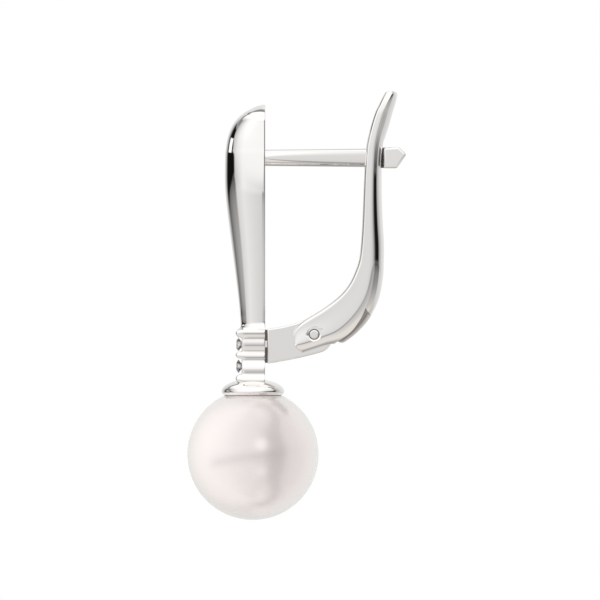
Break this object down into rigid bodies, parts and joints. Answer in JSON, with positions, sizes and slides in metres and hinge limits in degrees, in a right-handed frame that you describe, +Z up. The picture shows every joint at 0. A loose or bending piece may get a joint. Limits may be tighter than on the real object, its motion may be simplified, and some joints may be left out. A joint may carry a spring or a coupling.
{
  "type": "pearl drop earring with lever back",
  "caption": "Drop earring: a domed front plate, stones set between bars on a ribbed stem, a round pearl under a cap, and a hinged lever that closes on the ear post.",
  "frame": {"origin": "middle of the ear post, between the flat back of the front plate and the lever, where the ear lobe sits", "axes": "+Z up towards the plate's round top, -Y towards the front of the plate, +Y along the ear post to the lever, X across; the part is symmetric about X = 0"},
  "size_m": [0.008, 0.0133, 0.0261],
  "materials": {
    "polished_silver": "mirror polished white metal",
    "pearl_nacre": "soft satin pearl lustre",
    "clear_stone": "faceted, colourless, polished"
  },
  "bodies": {
    "front": {"front_frame": "polished_silver", "pearl": "pearl_nacre", "stone_upper": "clear_stone", "stone_lower": "clear_stone", "hinge_pin": "polished_silver"},
    "lever_back": {"lever": "polished_silver"}
  },
  "joints": [
    {"name": "lever_hinge", "type": "hinge", "parent": "front", "child": "lever_back", "pos_m": [0, -0.00007, -0.01076], "axis": [-1, 0, 0], "range_deg": [0, 90]}
  ]
}
